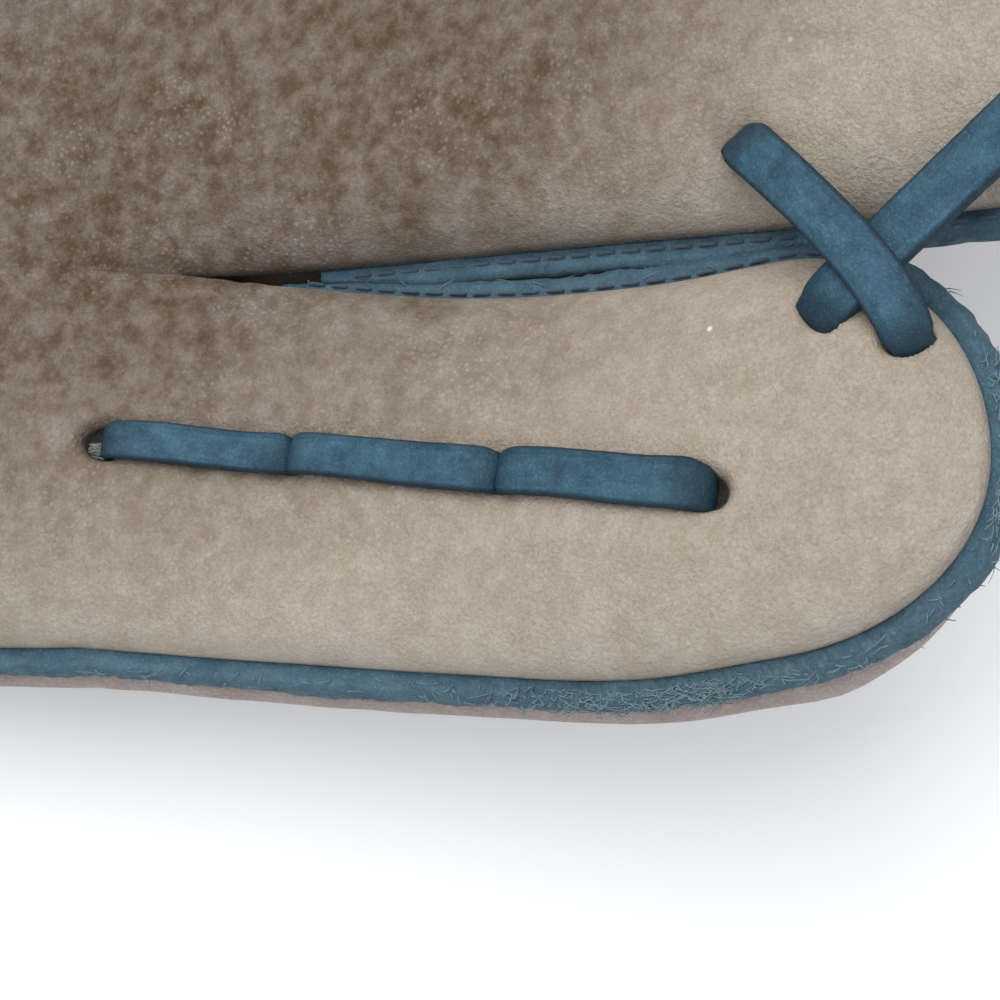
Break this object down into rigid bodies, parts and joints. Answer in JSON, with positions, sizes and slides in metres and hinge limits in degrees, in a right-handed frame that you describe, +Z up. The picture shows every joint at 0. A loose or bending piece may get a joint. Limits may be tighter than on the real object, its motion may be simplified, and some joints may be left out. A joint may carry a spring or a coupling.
{
  "type": "baseball glove",
  "caption": "Left-hand baseball fielding glove of padded tan leather with navy welts and rawhide laces, a laced web between thumb and index finger, and an open wrist.",
  "frame": {"origin": "on the resting surface, under the middle of the glove's bounding box", "axes": "+X towards the little finger, +Y towards the fingertips, +Z up; the pocket faces up"},
  "size_m": [0.283, 0.2838, 0.1316],
  "materials": {
    "tan_leather": "worn pebbled tan cowhide, matt with a soft sheen",
    "navy_leather": "navy welt leather, matt with a fuzzy cut edge",
    "lace_leather": "navy rawhide lace, smooth with a soft sheen"
  },
  "bodies": {
    "root": {"palm_panel": "tan_leather", "thumb_back": "tan_leather", "index_back": "tan_leather", "middle_back": "tan_leather", "ring_back": "tan_leather", "little_back": "tan_leather", "web_panel": "tan_leather", "wrist_strap": "tan_leather", "thumb_welt": "navy_leather", "index_welt": "navy_leather", "middle_welt": "navy_leather", "ring_welt": "navy_leather", "little_welt": "navy_leather", "heel_binding": "navy_leather", "opening_binding": "navy_leather", "little_lace": "lace_leather", "thumb_lace": "lace_leather", "heel_lace": "lace_leather", "web_lace_thumb": "lace_leather", "web_lace_index": "lace_leather", "strap_lace_thumb": "lace_leather", "strap_lace_little": "lace_leather", "tip_lace_little_ring_1": "lace_leather", "tip_lace_little_ring_2": "lace_leather", "tip_lace_ring_middle_1": "lace_leather", "tip_lace_ring_middle_2": "lace_leather", "tip_lace_index_middle_1": "lace_leather", "tip_lace_index_middle_2": "lace_leather"}
  },
  "joints": []
}
